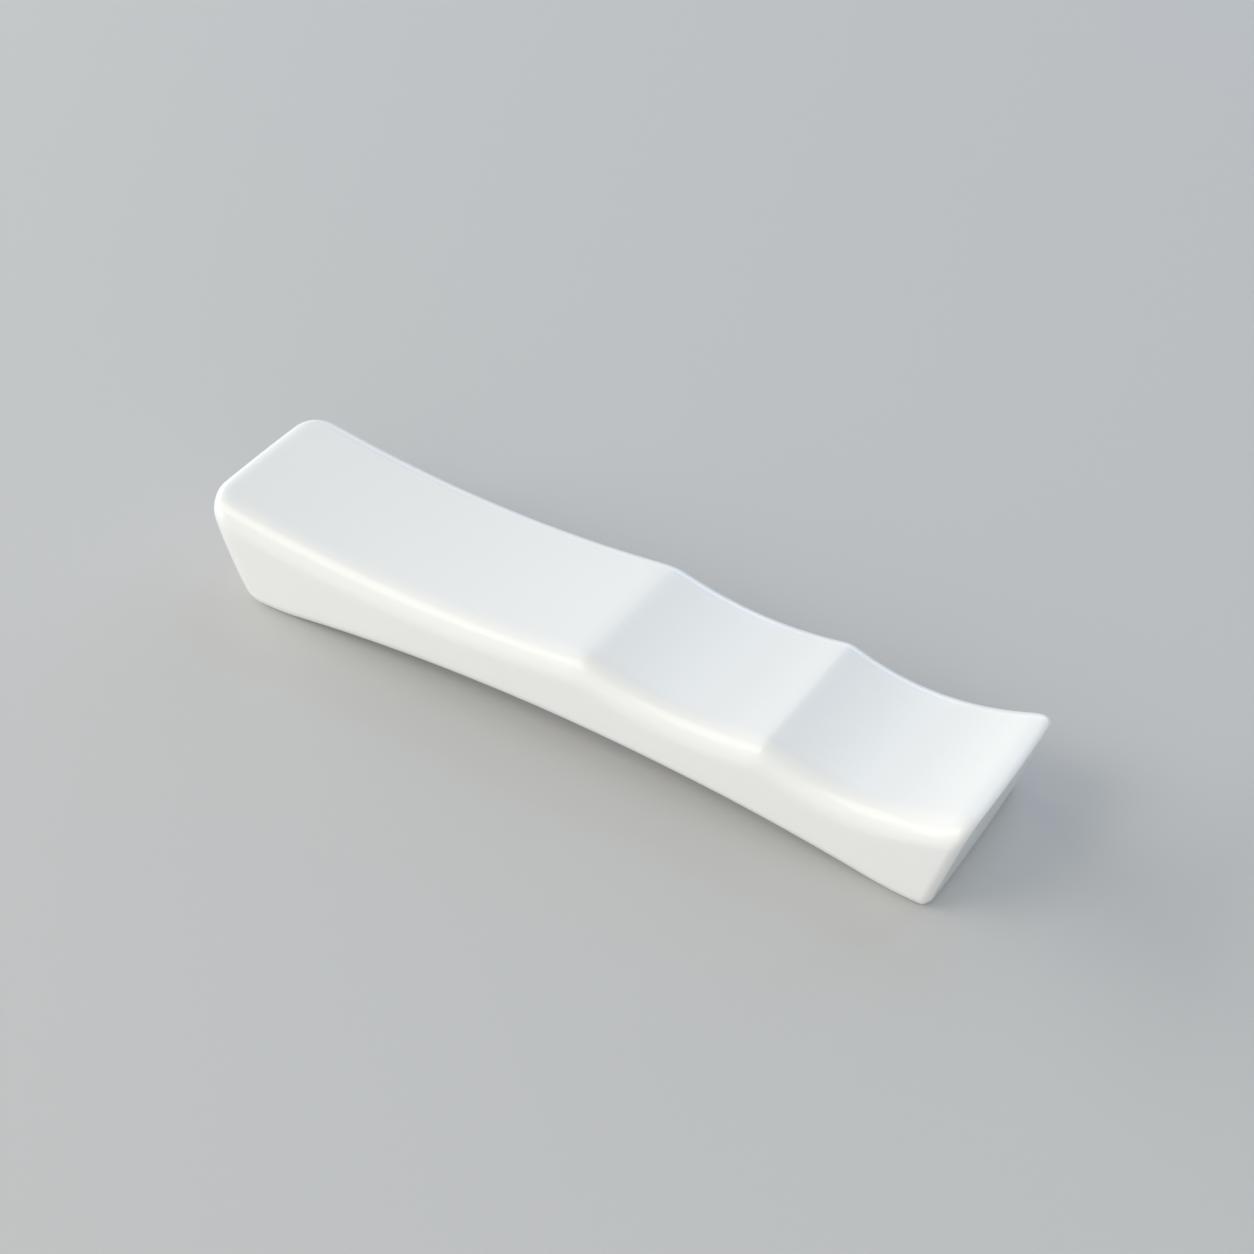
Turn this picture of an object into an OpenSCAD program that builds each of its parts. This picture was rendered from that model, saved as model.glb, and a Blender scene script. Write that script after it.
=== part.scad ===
// Cutlery rest, one solid piece of glazed porcelain.
// Three scallops cross its top: a long one towards -X, then two short ones towards +X.
// The ends lean in under the rim, the long sides draw in a little at mid length,
// and a low arch underneath leaves a foot at each end.
// X runs along the rest, Y across it and Z up. The origin is on the table, under the middle
// of the rest. Every length is in millimetres.

/* [Overall] */
// Length over the rim, from corner to corner
rest_length = 110; // [90:1:140]
// Width over the rim at the ends
rim_width = 24.2; // [20:0.1:32]
// Width at table level at the ends
base_width = 25.2; // [20:0.1:32]
// How far each long side draws in at mid length
side_hollow = 0.25; // [0:0.05:1]
// How far each end face swells out at mid width
end_swell = 0.25; // [0:0.05:1]
// How far the end face at the long scallop bows out at mid height
long_end_bow = 0.8; // [0:0.1:1.5]

/* [Crests] */
// Height of the rim at the end of the long scallop
long_rim_height = 14.7; // [13:0.1:18]
// Height at which the long and the middle scallop meet
first_ridge_height = 13.95; // [12.5:0.05:16]
// Height at which the middle and the last scallop meet
second_ridge_height = 13.1; // [12:0.05:16]
// Height of the rim at the end of the last scallop
short_rim_height = 15.2; // [13:0.1:18]
// Place of the first ridge, from the middle of the rest
first_ridge_x = 3.3; // [-12:0.1:12]
// Place of the second ridge, from the middle of the rest
second_ridge_x = 28.5; // [20:0.1:36]
// Length over which the two flanks of a ridge blend, as a height
ridge_blend = 0.26; // [0.1:0.02:0.6]

/* [Scallops] */
// Depth of the long scallop under the line between its crests
long_dip = 2.35; // [0.6:0.05:3]
// Depth of the middle scallop under the line between its crests
middle_dip = 1.7; // [0.6:0.05:2.5]
// Depth of the last scallop under the line between its crests
last_dip = 3.25; // [0.6:0.05:4]

/* [Ends] */
// How far the foot stands in from the rim, at the long scallop
long_lean = 6; // [0:0.1:9]
// How far the foot stands in from the rim, at the last scallop
short_lean = 4; // [0:0.1:9]
// How far the round of the upright corners reaches along the sides, at the long scallop
long_corner_reach = 3.8; // [0.8:0.1:6]
// How far the same round draws the sides in
long_corner_depth = 3; // [0.8:0.1:5]
// Radius of the upright corners, at the last scallop
short_corner_r = 1.5; // [0.8:0.1:6]
// How far the round of the rim reaches along the top, at the long scallop
long_rim_reach = 2.5; // [0.6:0.1:4]
// How far the same round drops
long_rim_drop = 1.5; // [0.6:0.1:2.5]
// How far the round of the rim reaches along the top, at the last scallop
short_rim_reach = 3; // [0.6:0.1:4]
// How far the same round drops
short_rim_drop = 2; // [0.6:0.1:2.5]
// Radius under the ends, at the feet
foot_end_r = 1; // [0.4:0.1:1.5]

/* [Long edges] */
// Radius of the top edge along both sides
top_edge_r = 3.25; // [1:0.05:4]
// Radius of the bottom edge along both sides
base_edge_r = 2; // [0.8:0.1:2.5]

/* [Underside] */
// Height of the arch at its crown
arch_height = 3.5; // [1:0.05:4]
// Length of the foot under the long scallop, before the arch blends into it
long_foot = 7.1; // [4:0.1:14]
// Length of the foot under the last scallop, before the arch blends into it
short_foot = 5.2; // [4:0.1:14]
// Length over which the arch blends into the feet, as a height
arch_blend = 0.15; // [0.05:0.01:0.3]
// Depth ground off the feet to make them flat
foot_grind = 0.03; // [0.02:0.01:0.06]

/* [Hidden] */

// How far the swell and the bow of an end face reach along the rest
swell_reach = 20;
// How far the cut under the feet runs past the rest
overrun = 2;
// Most of the height of a section that its two edge radii may take
edge_share = 0.9;

// Steps along the rest: round each end, then along each scallop
end_steps = 8;
long_steps = 22;
middle_steps = 14;
last_steps = 14;
// Steps round a section: half its flat top, one edge radius, one side
flat_steps = 3;
edge_steps = 6;
side_steps = 3;

half_length = rest_length / 2;
long_end_reach = max(long_corner_reach, long_rim_reach);
short_end_reach = max(short_corner_r, short_rim_reach);
rim_level = max(long_rim_height, short_rim_height);
foot_span = rest_length - long_lean - short_lean;

// Height of a hollow arc that dips below the line from one crest to the next
function scallop_height(x, from, to, dip) =
    let (
        chord = norm(to - from),
        radius = (chord * chord / 4 + dip * dip) / (2 * dip),
        upward = [from[1] - to[1], to[0] - from[0]] / chord,
        centre = (from + to) / 2 + upward * (radius - dip),
        off = x - centre[0]
    )
    centre[1] - sqrt(max(radius * radius - off * off, 0));

// The lower of two heights and the higher one, each with the corner between them blended
function blend_low(a, b, size) = min(a, b) - size * ln(1 + exp(-abs(a - b) / size));
function blend_high(a, b, size) = max(a, b) + size * ln(1 + exp(-abs(a - b) / size));

// Height of the top along the middle of the rest, before the rims are rounded
function top_height(x) =
    let (
        long_rim = [-half_length, long_rim_height],
        first = [first_ridge_x, first_ridge_height],
        second = [second_ridge_x, second_ridge_height],
        short_rim = [half_length, short_rim_height],
        long_part = scallop_height(x, long_rim, first, long_dip),
        middle_part = scallop_height(x, first, second, middle_dip),
        last_part = scallop_height(x, second, short_rim, last_dip)
    )
    blend_low(blend_low(long_part, middle_part, ridge_blend), last_part, ridge_blend);

// Height of the underside where a section stands at x on the table
function arch_rise(x) =
    let (
        from = -half_length + long_lean + long_foot,
        to = half_length - short_lean - short_foot,
        half = (to - from) / 2,
        off = x - (from + to) / 2,
        radius = (half * half + arch_height * arch_height) / (2 * arch_height),
        arc = sqrt(max(radius * radius - off * off, 0)) - (radius - arch_height)
    )
    blend_high(arc, 0, arch_blend) - foot_grind;

// How far a round draws a face in, at a distance from where the round starts.
// It is a quarter of an ellipse, which reaches so far along and is so deep.
function round_in(distance, reach, depth) =
    let (left = 1 - min(distance / reach, 1))
    depth * (1 - sqrt(1 - left * left));

// Where a section meets the table
function foot_x(x) = long_lean - half_length + (x + half_length) * foot_span / rest_length;

// A point of the section at x, which leans and swells as the ends do
function section_point(x, y, z) =
    let (
        across = 2 * y / base_width,
        up = z / rim_level,
        swell = end_swell * (1 - across * across),
        bow = 4 * long_end_bow * up * (1 - up),
        to_long = max(1 - (x + half_length) / swell_reach, 0),
        to_short = max(1 - (half_length - x) / swell_reach, 0),
        push = swell * to_short * to_short - (swell + bow) * to_long * to_long
    )
    [foot_x(x) + (x - foot_x(x)) * up + push, y, z];

// Half the width of the section at x, at a height, with the upright corners rounded
function half_width(x, z) =
    let (
        along = x / half_length,
        long_corner = round_in(x + half_length, long_corner_reach, long_corner_depth),
        short_corner = round_in(half_length - x, short_corner_r, short_corner_r)
    )
    (base_width + (rim_width - base_width) * z / rim_level) / 2
        - side_hollow * (1 - along * along) - long_corner - short_corner;

// The +Y half of the section at x, from the middle of the top to the middle of the underside
function half_section(x) =
    let (
        long_rim = round_in(x + half_length, long_rim_reach, long_rim_drop),
        short_rim = round_in(half_length - x, short_rim_reach, short_rim_drop),
        long_toe = round_in(x + half_length, foot_end_r, foot_end_r),
        short_toe = round_in(half_length - x, foot_end_r, foot_end_r),
        top = top_height(x) - long_rim - short_rim,
        base = arch_rise(foot_x(x)) + long_toe + short_toe,
        fit = min(1, edge_share * (top - base) / (top_edge_r + base_edge_r)),
        top_r = fit * top_edge_r,
        base_r = fit * base_edge_r,
        side = top - base - top_r - base_r,
        top_y = half_width(x, top) - top_r,
        base_y = half_width(x, base) - base_r
    )
    [
        for (i = [0 : flat_steps - 1]) section_point(x, top_y * i / flat_steps, top),
        for (i = [0 : edge_steps])
            let (a = 90 * i / edge_steps, z = top - top_r * (1 - cos(a)))
            section_point(x, half_width(x, z) - top_r * (1 - sin(a)), z),
        for (i = [1 : side_steps - 1])
            let (z = top - top_r - side * i / side_steps)
            section_point(x, half_width(x, z), z),
        for (i = [0 : edge_steps])
            let (a = 90 * i / edge_steps, z = base + base_r * (1 - sin(a)))
            section_point(x, half_width(x, z) - base_r * (1 - cos(a)), z),
        for (i = [flat_steps - 1 : -1 : 0]) section_point(x, base_y * i / flat_steps, base)
    ];

function mirrored(p) = [p[0], -p[1], p[2]];

// The whole section: the +Y half down, then the same points mirrored back up
function section(x) =
    let (half = half_section(x))
    [
        each half,
        for (i = [half_points - 2 : -1 : 1]) mirrored(half[i])
    ];

// Stations between two places, closest together at both of them
function span(from, to, steps) =
    [for (i = [0 : steps - 1]) from + (to - from) * (1 - cos(180 * i / steps)) / 2];

stations = [
    for (i = [0 : end_steps - 1]) -half_length + long_end_reach * (1 - cos(90 * i / end_steps)),
    each span(-half_length + long_end_reach, first_ridge_x, long_steps),
    each span(first_ridge_x, second_ridge_x, middle_steps),
    each span(second_ridge_x, half_length - short_end_reach, last_steps),
    for (i = [end_steps : -1 : 0]) half_length - short_end_reach * (1 - cos(90 * i / end_steps))
];

half_points = 2 * flat_steps + 2 * (edge_steps + 1) + side_steps - 1;
around = 2 * (half_points - 1);
last_station = len(stations) - 1;
top_corner = flat_steps;
base_corner = half_points - 1 - flat_steps;
inner_rows = base_corner - top_corner - 1;
inner_columns = 2 * flat_steps - 1;

// Points inside an end face, row by row between its two upright edges
function end_points(x) =
    let (half = half_section(x))
    [
        for (row = [1 : inner_rows], column = [1 - flat_steps : flat_steps - 1])
            let (edge = half[top_corner + row])
            section_point(x, edge[1] * column / flat_steps, edge[2])
    ];

// Index of a point of an end face, where ring and inner are its first two indices
function end_index(ring, inner, row, column) =
    row == 0 ? ring + (column >= 0 ? column : around + column) :
    row == inner_rows + 1 ? ring + half_points - 1 - column :
    column == flat_steps ? ring + top_corner + row :
    column == -flat_steps ? ring + around - top_corner - row :
    inner + (row - 1) * inner_columns + column + flat_steps - 1;

// Two triangles for a patch of four corners, given clockwise as seen from outside
function patch(a, b, c, d) = [[a, b, c], [a, c, d]];

function skin_faces() = [
    for (i = [0 : last_station - 1], j = [0 : around - 1])
        let (
            here = i * around,
            next = here + around,
            k = (j + 1) % around
        )
        each patch(here + j, next + j, next + k, here + k)
];

function end_faces(ring, inner, flip) = [
    for (row = [0 : inner_rows], column = [-flat_steps : flat_steps - 1])
        let (
            a = end_index(ring, inner, row, column),
            b = end_index(ring, inner, row, column + 1),
            c = end_index(ring, inner, row + 1, column + 1),
            d = end_index(ring, inner, row + 1, column)
        )
        each (flip ? patch(a, d, c, b) : patch(a, b, c, d))
];

module porcelain_body() {
    ring_total = len(stations) * around;
    points = [
        for (x = stations) each section(x),
        each end_points(stations[0]),
        each end_points(stations[last_station])
    ];
    faces = [
        each skin_faces(),
        each end_faces(0, ring_total, false),
        each end_faces(last_station * around, ring_total + inner_rows * inner_columns, true)
    ];
    cut = [rest_length + 2 * overrun, base_width + 2 * overrun, overrun];
    color("whitesmoke")
    difference() {
        polyhedron(points = points, faces = faces);
        translate([-cut[0] / 2, -cut[1] / 2, -cut[2]])
            cube(cut);
    }
}

porcelain_body();
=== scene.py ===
# Looks of a porcelain cutlery rest: one finely meshed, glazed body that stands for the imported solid,
# on a plain pale floor under plain soft studio light.
# X runs along the rest, Y across it and Z up, as in the frame. Every length is in metres.
import math

import bmesh
import bpy
from mathutils import Matrix, Vector, noise


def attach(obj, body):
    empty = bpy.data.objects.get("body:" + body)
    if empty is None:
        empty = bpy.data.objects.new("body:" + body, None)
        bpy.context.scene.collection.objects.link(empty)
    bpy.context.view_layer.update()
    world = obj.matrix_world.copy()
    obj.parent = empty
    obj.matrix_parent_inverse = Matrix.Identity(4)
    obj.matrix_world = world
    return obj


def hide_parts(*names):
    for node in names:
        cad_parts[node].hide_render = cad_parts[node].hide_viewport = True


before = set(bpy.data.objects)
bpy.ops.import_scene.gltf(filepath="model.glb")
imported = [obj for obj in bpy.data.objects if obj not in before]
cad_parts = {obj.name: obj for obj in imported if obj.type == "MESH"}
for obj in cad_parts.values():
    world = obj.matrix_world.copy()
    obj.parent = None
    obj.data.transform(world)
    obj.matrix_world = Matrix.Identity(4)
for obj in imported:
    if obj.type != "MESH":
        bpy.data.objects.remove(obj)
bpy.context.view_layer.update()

MM = 0.001
QUARTER_TURN = math.radians(90)

# Sizes of the body, the same as those of the solid that it stands for
REST_LENGTH = 110 * MM
RIM_WIDTH = 24.2 * MM
BASE_WIDTH = 25.2 * MM
SIDE_HOLLOW = 0.25 * MM
END_SWELL = 0.25 * MM
LONG_END_BOW = 0.8 * MM
SWELL_REACH = 20 * MM

LONG_RIM_HEIGHT = 14.7 * MM
FIRST_RIDGE_HEIGHT = 13.95 * MM
SECOND_RIDGE_HEIGHT = 13.1 * MM
SHORT_RIM_HEIGHT = 15.2 * MM
FIRST_RIDGE_X = 3.3 * MM
SECOND_RIDGE_X = 28.5 * MM
RIDGE_BLEND = 0.26 * MM

LONG_DIP = 2.35 * MM
MIDDLE_DIP = 1.7 * MM
LAST_DIP = 3.25 * MM

LONG_LEAN = 6 * MM
SHORT_LEAN = 4 * MM
LONG_CORNER_REACH = 3.8 * MM
LONG_CORNER_DEPTH = 3 * MM
SHORT_CORNER_R = 1.5 * MM
LONG_RIM_REACH = 2.5 * MM
LONG_RIM_DROP = 1.5 * MM
SHORT_RIM_REACH = 3 * MM
SHORT_RIM_DROP = 2 * MM
FOOT_END_R = 1 * MM

TOP_EDGE_R = 3.25 * MM
BASE_EDGE_R = 2 * MM
EDGE_SHARE = 0.9

ARCH_HEIGHT = 3.5 * MM
LONG_FOOT = 7.1 * MM
SHORT_FOOT = 5.2 * MM
ARCH_BLEND = 0.15 * MM
FOOT_GRIND = 0.03 * MM

# Only the skin has these. The short end's face stands in a little and cuts off the rounds beside
# it before they have turned all the way, so that it meets them at a clear edge.
SHORT_FACE_INSET = 0.1 * MM
SHORT_ROUND_SHIFT = 0.08 * MM

HALF_LENGTH = REST_LENGTH / 2
SHORT_FACE = HALF_LENGTH - SHORT_FACE_INSET
LONG_END_REACH = max(LONG_CORNER_REACH, LONG_RIM_REACH)
SHORT_END_REACH = max(SHORT_CORNER_R, SHORT_RIM_REACH)
RIM_LEVEL = max(LONG_RIM_HEIGHT, SHORT_RIM_HEIGHT)
FOOT_SPAN = REST_LENGTH - LONG_LEAN - SHORT_LEAN

# Steps of the mesh along the rest: round each end, then along each scallop
END_STEPS = 16
LONG_STEPS = 72
MIDDLE_STEPS = 40
LAST_STEPS = 40
# Steps round a section: half its flat top, one edge radius, one side
FLAT_STEPS = 9
EDGE_STEPS = 14
SIDE_STEPS = 7

# Slow waves that firing leaves in the surface
WAVE_LENGTH = 17 * MM
WAVE_HEIGHT = 0.03 * MM

# The middle part of a noise's range, where nearly all its values lie
NOISE_RANGE = (0.1, 0.9)
# Clear glaze over white porcelain, which differs a little in tone and gloss from place to place
GLAZE_COLOUR = (0.88, 0.88, 0.87, 1)
GLAZE_SHADE = (0.868, 0.872, 0.866, 1)
GLAZE_SHADE_LENGTH = 14 * MM
GLAZE_SHADE_DETAIL = 0
GLAZE_ROUGHNESS = (0.27, 0.31)
GLAZE_ROUGHNESS_LENGTH = 9 * MM
GLAZE_ROUGHNESS_DETAIL = 1
GLAZE_SPECULAR = 0.25
GLOSS_SHARE = 0.5
GLOSS_ROUGHNESS = 0.16
# Faint ripple of the glaze
RIPPLE_LENGTH = 1.6 * MM
RIPPLE_DETAIL = 2
RIPPLE_HEIGHT = 0.003 * MM
# Light that travels a little way inside the white body, as far in red as in green and blue
INNER_GLOW_SHARE = 0.12
INNER_GLOW_REACH = 1.2 * MM
INNER_GLOW_BALANCE = (1, 1, 1)
# Bare biscuit on the ground feet, up to an uneven line just above the table
BISCUIT_COLOUR = (0.8, 0.775, 0.73, 1)
BISCUIT_ROUGHNESS = 0.75
BISCUIT_TOP = 0.14 * MM
BISCUIT_WANDER = 0.16 * MM
BISCUIT_LINE = (BISCUIT_TOP - BISCUIT_WANDER / 2, BISCUIT_TOP + BISCUIT_WANDER / 2)
BISCUIT_WANDER_LENGTH = 2.5 * MM
BISCUIT_WANDER_DETAIL = 3
BISCUIT_FADE = 0.02 * MM

# Plain pale floor, which fades into a plain backdrop of about the same tone further out
FLOOR_RADIUS = 2.5
FLOOR_SIDES = 96
FLOOR_COLOUR = (0.55, 0.55, 0.55, 1)
FLOOR_ROUGHNESS = 0.9
BACKDROP_COLOUR = (0.5, 0.5, 0.5, 1)
BACKDROP_STRENGTH = 1
BACKDROP_START = 0.25
BACKDROP_END = 0.8

# Place of the camera: round the rest, above the table, and from the rest's middle on the table
VIEW_AZIMUTH = math.radians(32.808)
VIEW_ELEVATION = math.radians(41.418)
VIEW_DISTANCE = 281.59 * MM
NEAREST_SEEN = VIEW_DISTANCE / 10
# The camera's own frame, in pixels of the photograph
PHOTO_SIZE_PX = 1254
FOCAL_LENGTH_PX = 2234.2
REST_MIDDLE_PX = (607.24, 683.84)
SENSOR_WIDTH_MM = 36

# Soft lamps, all equally far away. Each has its azimuth and elevation in degrees, its width and
# height in metres, its power in watts and its colour.
LAMP_DISTANCE = 1
LAMPS = {
    "key": (-40, 48, 0.5, 0.5, 2.4, (1, 0.9, 0.76)),
    "left_strip": (-82, 16, 1.6, 0.56, 10.5, (0.97, 1, 0.99)),
    "front": (18, 31, 1.5, 1, 4.7, (0.99, 1, 0.98)),
    "right_high": (100, 55, 1.2, 1.2, 2.9, (0.85, 0.96, 1)),
    "back": (176, 28, 1, 1, 4.1, (0.6, 0.75, 1)),
    "back_low": (190, 10, 1.4, 0.24, 1, (1, 1, 1)),
}
# Even light from all round
WORLD_COLOUR = (1, 1, 1, 1)
WORLD_STRENGTH = 0.14


def scallop_height(x, start, end, dip):
    """Height of a hollow arc that dips below the line from one crest to the next."""
    chord_line = end - start
    chord = chord_line.length
    radius = (chord * chord / 4 + dip * dip) / (2 * dip)
    upward = Vector((-chord_line.y, chord_line.x)) / chord
    centre = (start + end) / 2 + upward * (radius - dip)
    off = x - centre.x
    return centre.y - math.sqrt(max(radius * radius - off * off, 0))


def blend_low(a, b, size):
    """The lower of two heights, with the corner between them blended."""
    return min(a, b) - size * math.log(1 + math.exp(-abs(a - b) / size))


def blend_high(a, b, size):
    """The higher of two heights, with the corner between them blended."""
    return max(a, b) + size * math.log(1 + math.exp(-abs(a - b) / size))


def top_height(x):
    """Height of the top along the middle of the rest, before the rims are rounded."""
    long_rim = Vector((-HALF_LENGTH, LONG_RIM_HEIGHT))
    first = Vector((FIRST_RIDGE_X, FIRST_RIDGE_HEIGHT))
    second = Vector((SECOND_RIDGE_X, SECOND_RIDGE_HEIGHT))
    short_rim = Vector((HALF_LENGTH, SHORT_RIM_HEIGHT))
    long_part = scallop_height(x, long_rim, first, LONG_DIP)
    middle_part = scallop_height(x, first, second, MIDDLE_DIP)
    last_part = scallop_height(x, second, short_rim, LAST_DIP)
    return blend_low(blend_low(long_part, middle_part, RIDGE_BLEND), last_part, RIDGE_BLEND)


def arch_rise(x):
    """Height of the underside where a section stands at x on the table."""
    start = -HALF_LENGTH + LONG_LEAN + LONG_FOOT
    end = HALF_LENGTH - SHORT_LEAN - SHORT_FOOT
    half = (end - start) / 2
    off = x - (start + end) / 2
    radius = (half * half + ARCH_HEIGHT * ARCH_HEIGHT) / (2 * ARCH_HEIGHT)
    arc = math.sqrt(max(radius * radius - off * off, 0)) - (radius - ARCH_HEIGHT)
    return blend_high(arc, 0, ARCH_BLEND) - FOOT_GRIND


def round_in(distance, reach, depth):
    """How far a round, a quarter of an ellipse, draws a face in at a distance from its start."""
    left = 1 - min(distance / reach, 1)
    return depth * (1 - math.sqrt(1 - left * left))


def foot_x(x):
    """Where the section at x on the rim meets the table."""
    return LONG_LEAN - HALF_LENGTH + (x + HALF_LENGTH) * FOOT_SPAN / REST_LENGTH


def section_point(x, y, z):
    """A point of the section at x, which leans and swells as the ends do."""
    across = 2 * y / BASE_WIDTH
    up = z / RIM_LEVEL
    swell = END_SWELL * (1 - across * across)
    bow = 4 * LONG_END_BOW * up * (1 - up)
    to_long = max(1 - (x + HALF_LENGTH) / SWELL_REACH, 0)
    to_short = max(1 - (HALF_LENGTH - x) / SWELL_REACH, 0)
    push = swell * to_short * to_short - (swell + bow) * to_long * to_long
    return Vector((foot_x(x) + (x - foot_x(x)) * up + push, y, z))


def half_width(x, z):
    """Half the width of the section at x, at a height, with the upright corners rounded."""
    along = x / HALF_LENGTH
    long_corner = round_in(x + HALF_LENGTH, LONG_CORNER_REACH, LONG_CORNER_DEPTH)
    short_corner = round_in(HALF_LENGTH - x + SHORT_ROUND_SHIFT, SHORT_CORNER_R, SHORT_CORNER_R)
    straight = (BASE_WIDTH + (RIM_WIDTH - BASE_WIDTH) * z / RIM_LEVEL) / 2
    return straight - SIDE_HOLLOW * (1 - along * along) - long_corner - short_corner


def half_section(x):
    """The +Y half of the section at x, from the middle of the top to the middle of the underside."""
    long_rim = round_in(x + HALF_LENGTH, LONG_RIM_REACH, LONG_RIM_DROP)
    short_rim = round_in(HALF_LENGTH - x + SHORT_ROUND_SHIFT, SHORT_RIM_REACH, SHORT_RIM_DROP)
    long_toe = round_in(x + HALF_LENGTH, FOOT_END_R, FOOT_END_R)
    short_toe = round_in(HALF_LENGTH - x, FOOT_END_R, FOOT_END_R)
    top = top_height(x) - long_rim - short_rim
    base = arch_rise(foot_x(x)) + long_toe + short_toe
    fit = min(1, EDGE_SHARE * (top - base) / (TOP_EDGE_R + BASE_EDGE_R))
    top_r = fit * TOP_EDGE_R
    base_r = fit * BASE_EDGE_R
    side = top - base - top_r - base_r
    top_y = half_width(x, top) - top_r
    base_y = half_width(x, base) - base_r

    points = [section_point(x, top_y * i / FLAT_STEPS, top) for i in range(FLAT_STEPS)]
    for i in range(EDGE_STEPS + 1):
        turn = QUARTER_TURN * i / EDGE_STEPS
        z = top - top_r * (1 - math.cos(turn))
        points.append(section_point(x, half_width(x, z) - top_r * (1 - math.sin(turn)), z))
    for i in range(1, SIDE_STEPS):
        z = top - top_r - side * i / SIDE_STEPS
        points.append(section_point(x, half_width(x, z), z))
    for i in range(EDGE_STEPS + 1):
        turn = QUARTER_TURN * i / EDGE_STEPS
        z = base + base_r * (1 - math.sin(turn))
        points.append(section_point(x, half_width(x, z) - base_r * (1 - math.cos(turn)), z))
    for i in range(FLAT_STEPS - 1, -1, -1):
        points.append(section_point(x, base_y * i / FLAT_STEPS, base))
    return points


def section(x):
    """The whole section: the +Y half down, then the same points mirrored back up."""
    half = half_section(x)
    return half + [Vector((p.x, -p.y, p.z)) for p in half[-2:0:-1]]


def span(start, end, steps):
    """Stations between two places, closest together at both of them."""
    return [start + (end - start) * (1 - math.cos(math.pi * i / steps)) / 2 for i in range(steps)]


def all_stations():
    """Every station along the rest, from the long scallop's end to the other."""
    turns = [QUARTER_TURN * i / END_STEPS for i in range(END_STEPS + 1)]
    long_end = [-HALF_LENGTH + LONG_END_REACH * (1 - math.cos(turn)) for turn in turns[:-1]]
    short_end = [SHORT_FACE - SHORT_END_REACH * (1 - math.cos(turn)) for turn in turns[::-1]]
    return (
        long_end
        + span(-HALF_LENGTH + LONG_END_REACH, FIRST_RIDGE_X, LONG_STEPS)
        + span(FIRST_RIDGE_X, SECOND_RIDGE_X, MIDDLE_STEPS)
        + span(SECOND_RIDGE_X, SHORT_FACE - SHORT_END_REACH, LAST_STEPS)
        + short_end
    )


def add_quads(mesh, rows):
    """A face for each cell between rows of corners."""
    for row, below in zip(rows, rows[1:]):
        for a, b, c, d in zip(row, row[1:], below[1:], below):
            mesh.faces.new((a, b, c, d))


def end_rows(mesh, ring, x):
    """Rows of corners over an end face, from its top edge down, which share the ring's corners."""
    base_middle = len(ring) // 2
    columns = range(-FLAT_STEPS, FLAT_STEPS + 1)
    # Columns lie closer together towards the face's upright edges
    shares = [math.sin(QUARTER_TURN * column / FLAT_STEPS) for column in columns[1:-1]]
    half = half_section(x)
    rows = [[ring[column] for column in columns]]
    for down in range(FLAT_STEPS + 1, base_middle - FLAT_STEPS):
        edge = half[down]
        inner = [mesh.verts.new(section_point(x, edge.y * share, edge.z)) for share in shares]
        rows.append([ring[-down], *inner, ring[down]])
    rows.append([ring[base_middle - column] for column in columns])
    return rows


def body_mesh():
    """The body's skin, with its slow waves, cut flat on the table and closed there."""
    mesh = bmesh.new()
    stations = all_stations()
    rings = [[mesh.verts.new(point) for point in section(x)] for x in stations]
    add_quads(mesh, [ring + ring[:1] for ring in rings])
    add_quads(mesh, end_rows(mesh, rings[0], stations[0])[::-1])
    add_quads(mesh, end_rows(mesh, rings[-1], stations[-1]))
    bmesh.ops.recalc_face_normals(mesh, faces=mesh.faces)

    mesh.normal_update()
    for vert in mesh.verts:
        vert.co += vert.normal * WAVE_HEIGHT * noise.noise(vert.co / WAVE_LENGTH)

    cut = bmesh.ops.bisect_plane(
        mesh,
        geom=[*mesh.verts, *mesh.edges, *mesh.faces],
        plane_co=(0, 0, 0),
        plane_no=(0, 0, 1),
        clear_inner=True,
    )
    foot_edges = [part for part in cut["geom_cut"] if isinstance(part, bmesh.types.BMEdge)]
    bmesh.ops.holes_fill(mesh, edges=foot_edges)
    for face in mesh.faces:
        face.smooth = True
    for edge in foot_edges:
        edge.smooth = False
    return mesh


def new_material(name):
    """An empty node material and its main shader."""
    material = bpy.data.materials.new(name)
    material.use_nodes = True
    return material, material.node_tree, material.node_tree.nodes["Principled BSDF"]


def noise_at(tree, place, length, detail):
    """Noise over places, whose humps are about so long."""
    texture = tree.nodes.new("ShaderNodeTexNoise")
    texture.inputs["Scale"].default_value = 1 / length
    texture.inputs["Detail"].default_value = detail
    tree.links.new(place, texture.inputs["Vector"])
    return texture.outputs["Fac"]


def spread(tree, value, from_range, to_range, smooth=False):
    """A value carried from one range of numbers to another."""
    node = tree.nodes.new("ShaderNodeMapRange")
    if smooth:
        node.interpolation_type = "SMOOTHSTEP"
    node.inputs["From Min"].default_value = from_range[0]
    node.inputs["From Max"].default_value = from_range[1]
    node.inputs["To Min"].default_value = to_range[0]
    node.inputs["To Max"].default_value = to_range[1]
    tree.links.new(value, node.inputs["Value"])
    return node.outputs["Result"]


def combined(tree, operation, first, second):
    """One number from two, such as their product or the higher of them."""
    node = tree.nodes.new("ShaderNodeMath")
    node.operation = operation
    tree.links.new(first, node.inputs[0])
    tree.links.new(second, node.inputs[1])
    return node.outputs["Value"]


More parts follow.
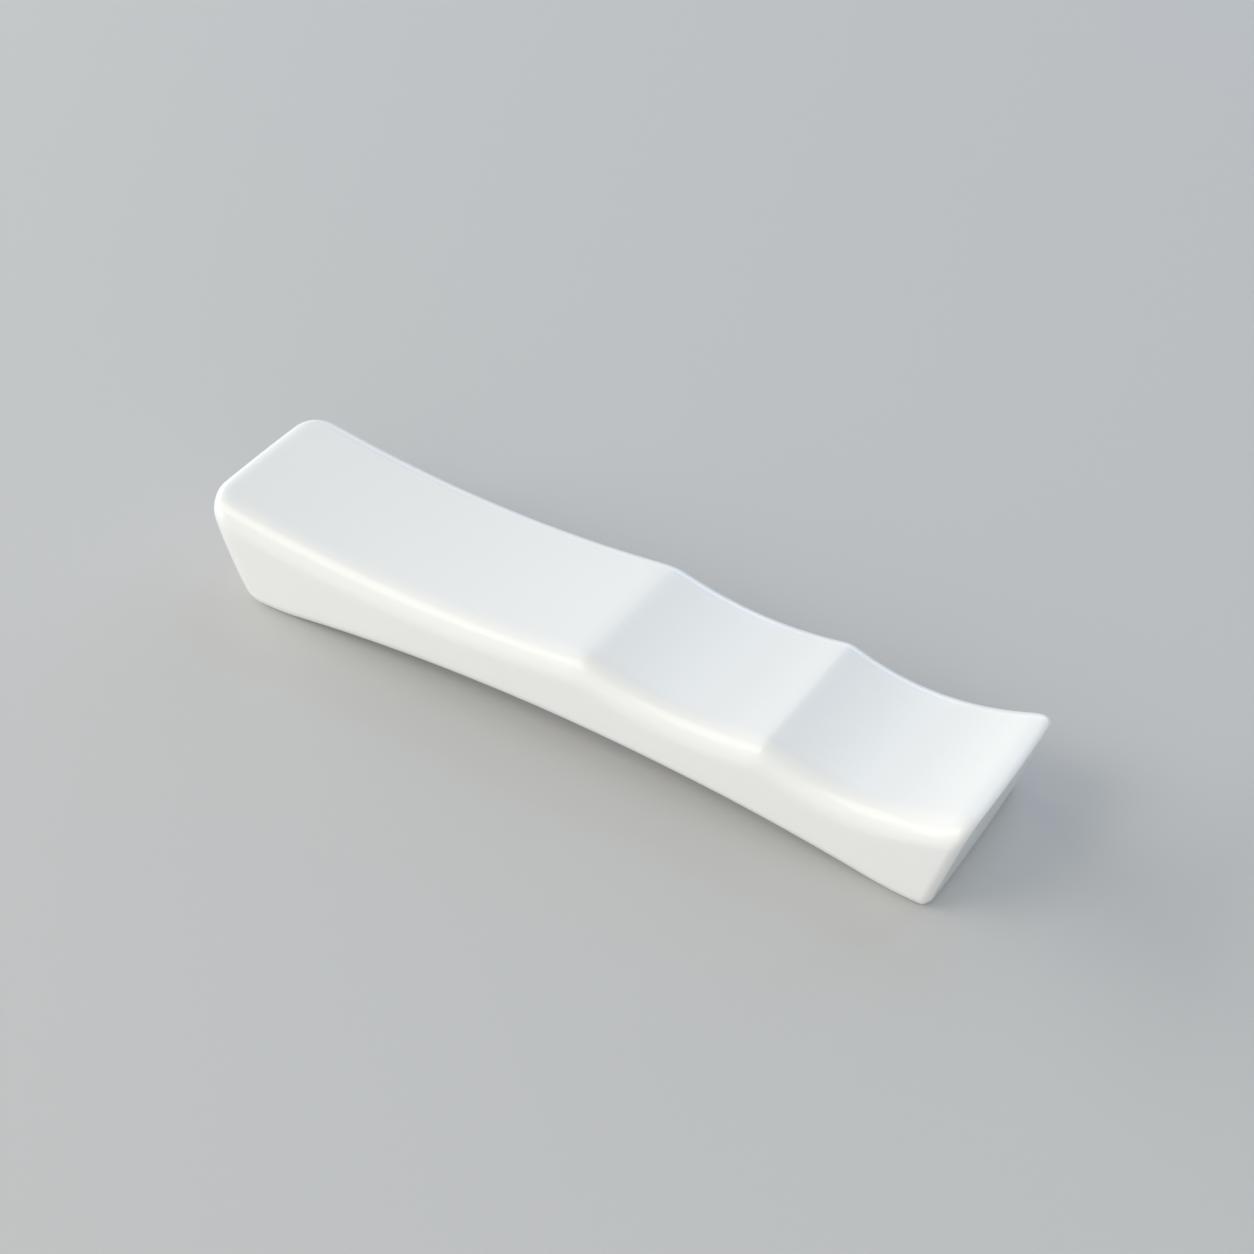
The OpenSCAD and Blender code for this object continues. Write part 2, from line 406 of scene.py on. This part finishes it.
def mixed(tree, share, first, second, kind="FLOAT"):
    """A mix of two numbers or colours, each a fixed value or the output of a node."""
    node = tree.nodes.new("ShaderNodeMix")
    node.data_type = kind
    socket_type = "VALUE" if kind == "FLOAT" else kind
    pair = [
        socket for socket in node.inputs
        if socket.type == socket_type and socket.name in ("A", "B")
    ]
    tree.links.new(share, node.inputs["Factor"])
    for socket, value in zip(pair, (first, second)):
        if isinstance(value, bpy.types.NodeSocket):
            tree.links.new(value, socket)
        else:
            socket.default_value = value
    return next(out for out in node.outputs if out.enabled)


def porcelain_material():
    """Clear glaze over white porcelain, and bare biscuit where the feet are ground."""
    material, tree, shader = new_material("glazed_porcelain")
    place = tree.nodes.new("ShaderNodeTexCoord").outputs["Object"]
    apart = tree.nodes.new("ShaderNodeSeparateXYZ")
    tree.links.new(place, apart.inputs["Vector"])

    wander = noise_at(tree, place, BISCUIT_WANDER_LENGTH, BISCUIT_WANDER_DETAIL)
    line = spread(tree, wander, (0, 1), BISCUIT_LINE)
    above = combined(tree, "SUBTRACT", apart.outputs["Z"], line)
    glazed = spread(tree, above, (-BISCUIT_FADE, BISCUIT_FADE), (0, 1))

    shade = noise_at(tree, place, GLAZE_SHADE_LENGTH, GLAZE_SHADE_DETAIL)
    tone = spread(tree, shade, NOISE_RANGE, (0, 1))
    glaze_colour = mixed(tree, tone, GLAZE_SHADE, GLAZE_COLOUR, "RGBA")
    colour = mixed(tree, glazed, BISCUIT_COLOUR, glaze_colour, "RGBA")
    tree.links.new(colour, shader.inputs["Base Color"])

    unevenness = noise_at(tree, place, GLAZE_ROUGHNESS_LENGTH, GLAZE_ROUGHNESS_DETAIL)
    glaze_roughness = spread(tree, unevenness, NOISE_RANGE, GLAZE_ROUGHNESS)
    roughness = mixed(tree, glazed, BISCUIT_ROUGHNESS, glaze_roughness)
    tree.links.new(roughness, shader.inputs["Roughness"])
    shader.inputs["Specular IOR Level"].default_value = GLAZE_SPECULAR
    tree.links.new(spread(tree, glazed, (0, 1), (0, GLOSS_SHARE)), shader.inputs["Coat Weight"])
    shader.inputs["Coat Roughness"].default_value = GLOSS_ROUGHNESS

    shader.inputs["Subsurface Weight"].default_value = INNER_GLOW_SHARE
    shader.inputs["Subsurface Radius"].default_value = INNER_GLOW_BALANCE
    shader.inputs["Subsurface Scale"].default_value = INNER_GLOW_REACH

    ripple = tree.nodes.new("ShaderNodeBump")
    ripple.inputs["Distance"].default_value = RIPPLE_HEIGHT
    tree.links.new(noise_at(tree, place, RIPPLE_LENGTH, RIPPLE_DETAIL), ripple.inputs["Height"])
    tree.links.new(ripple.outputs["Normal"], shader.inputs["Normal"])
    tree.links.new(ripple.outputs["Normal"], shader.inputs["Coat Normal"])
    return material


def seen_directly(tree):
    """1 for the camera's rays and for those in glossy or clear surfaces, 0 for the light's own paths."""
    path = tree.nodes.new("ShaderNodeLightPath")
    seen = path.outputs["Is Camera Ray"]
    for name in ("Is Glossy Ray", "Is Transmission Ray"):
        seen = combined(tree, "MAXIMUM", seen, path.outputs[name])
    return seen


def floor_material():
    """A plain pale floor that holds the rest's shadow and fades into an even backdrop further out."""
    material, tree, shader = new_material("pale_floor")
    shader.inputs["Base Color"].default_value = FLOOR_COLOUR
    shader.inputs["Roughness"].default_value = FLOOR_ROUGHNESS

    place = tree.nodes.new("ShaderNodeTexCoord").outputs["Object"]
    distance = tree.nodes.new("ShaderNodeVectorMath")
    distance.operation = "LENGTH"
    tree.links.new(place, distance.inputs[0])
    fade = (BACKDROP_START, BACKDROP_END)
    far = spread(tree, distance.outputs["Value"], fade, (0, 1), smooth=True)
    share = combined(tree, "MULTIPLY", far, seen_directly(tree))

    backdrop = tree.nodes.new("ShaderNodeEmission")
    backdrop.inputs["Color"].default_value = BACKDROP_COLOUR
    backdrop.inputs["Strength"].default_value = BACKDROP_STRENGTH
    mix = tree.nodes.new("ShaderNodeMixShader")
    tree.links.new(share, mix.inputs["Fac"])
    tree.links.new(shader.outputs["BSDF"], mix.inputs[1])
    tree.links.new(backdrop.outputs["Emission"], mix.inputs[2])
    tree.links.new(mix.outputs["Shader"], tree.nodes["Material Output"].inputs["Surface"])
    return material


def add_object(name, data):
    """A new object in the scene."""
    thing = bpy.data.objects.new(name, data)
    bpy.context.scene.collection.objects.link(thing)
    return thing


def add_mesh_object(name, mesh, material):
    """A new object in the scene, made from a mesh that is then no longer needed."""
    data = bpy.data.meshes.new(name)
    mesh.to_mesh(data)
    mesh.free()
    data.materials.append(material)
    return add_object(name, data)


def porcelain_body():
    """The whole rest, one piece of glazed porcelain."""
    body = add_mesh_object("glazed_body", body_mesh(), porcelain_material())
    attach(body, "root")
    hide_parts("porcelain_body")


def studio_floor():
    """The floor, level with the table that the rest stands on."""
    mesh = bmesh.new()
    bmesh.ops.create_circle(mesh, cap_ends=True, segments=FLOOR_SIDES, radius=FLOOR_RADIUS)
    floor = add_mesh_object("floor", mesh, floor_material())


def way_out(azimuth, elevation):
    """The way from the rest out to a camera or lamp, one metre long."""
    flat = math.cos(elevation)
    return Vector((math.sin(azimuth) * flat, -math.cos(azimuth) * flat, math.sin(elevation)))


def studio_camera():
    """The camera at the photograph's viewing angle, with the rest where the photograph has it."""
    back = way_out(VIEW_AZIMUTH, VIEW_ELEVATION)
    right = Vector((math.cos(VIEW_AZIMUTH), math.sin(VIEW_AZIMUTH), 0))
    up = back.cross(right)
    metres_per_pixel = VIEW_DISTANCE / FOCAL_LENGTH_PX
    aside = (PHOTO_SIZE_PX / 2 - REST_MIDDLE_PX[0]) * metres_per_pixel
    above = (REST_MIDDLE_PX[1] - PHOTO_SIZE_PX / 2) * metres_per_pixel
    place = Matrix.Translation(back * VIEW_DISTANCE + right * aside + up * above)
    facing = Matrix((right, up, back)).transposed().to_4x4()

    data = bpy.data.cameras.new("camera")
    data.sensor_width = SENSOR_WIDTH_MM
    data.lens = SENSOR_WIDTH_MM * FOCAL_LENGTH_PX / PHOTO_SIZE_PX
    data.clip_start = NEAREST_SEEN
    camera = add_object("camera", data)
    camera.matrix_world = place @ facing
    bpy.context.scene.camera = camera


def soft_light(name, azimuth, elevation, width, height, power, colour):
    """A flat soft light that faces the rest. Its azimuth is that of a camera in its place."""
    data = bpy.data.lights.new(name, "AREA")
    data.shape = "RECTANGLE"
    data.size = width
    data.size_y = height
    data.energy = power
    data.color = colour
    light = add_object(name, data)
    back = way_out(math.radians(azimuth), math.radians(elevation))
    light.location = back * LAMP_DISTANCE
    light.rotation_mode = "QUATERNION"
    light.rotation_quaternion = (-back).to_track_quat("-Z", "Y")
    light.visible_camera = False


def studio_world():
    """Even light from all round, and the backdrop where the world is seen directly."""
    world = bpy.data.worlds.new("studio")
    bpy.context.scene.world = world
    world.use_nodes = True
    tree = world.node_tree
    background = tree.nodes["Background"]
    seen = seen_directly(tree)
    colour = mixed(tree, seen, WORLD_COLOUR, BACKDROP_COLOUR, "RGBA")
    strength = mixed(tree, seen, WORLD_STRENGTH, BACKDROP_STRENGTH)
    tree.links.new(colour, background.inputs["Color"])
    tree.links.new(strength, background.inputs["Strength"])


studio_camera()
porcelain_body()
studio_floor()
for lamp_name, lamp in LAMPS.items():
    soft_light(lamp_name, *lamp)
studio_world()

bpy.context.scene.view_settings.view_transform = "Standard"
